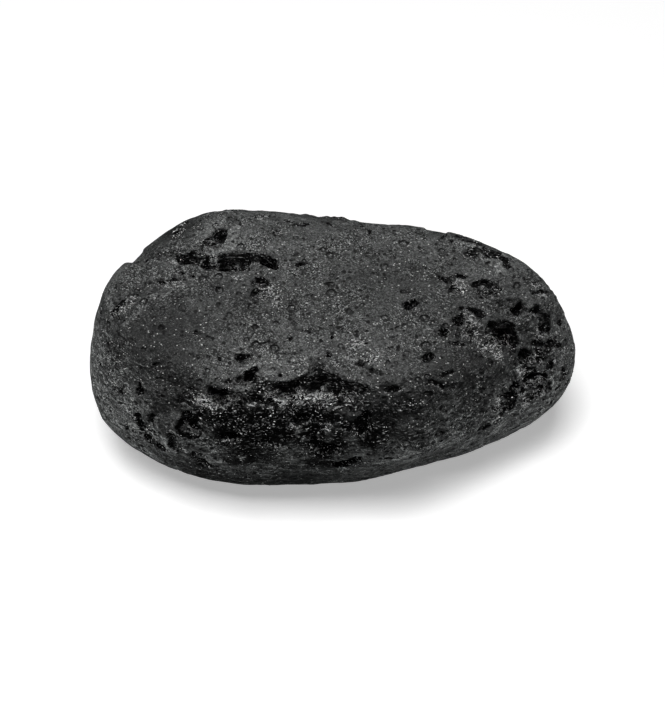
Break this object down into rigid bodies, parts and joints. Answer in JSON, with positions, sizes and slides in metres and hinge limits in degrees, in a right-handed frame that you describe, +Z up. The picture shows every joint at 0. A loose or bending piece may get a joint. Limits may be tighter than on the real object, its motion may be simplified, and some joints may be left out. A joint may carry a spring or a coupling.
{
  "type": "tektite",
  "caption": "Rounded oblong lump of black natural glass, pitted all over, with a deep crack under a raised knob and a flat resting face.",
  "frame": {"origin": "under the middle of the stone's bounding box, on the surface that it rests on", "axes": "+X along the length towards the pitted end, +Y across towards the side with the knob's back, +Z up with the stone lying as it rests"},
  "size_m": [0.06, 0.0426, 0.028],
  "materials": {
    "natural_glass": "satin"
  },
  "bodies": {
    "root": {"tektite": "natural_glass"}
  },
  "joints": []
}
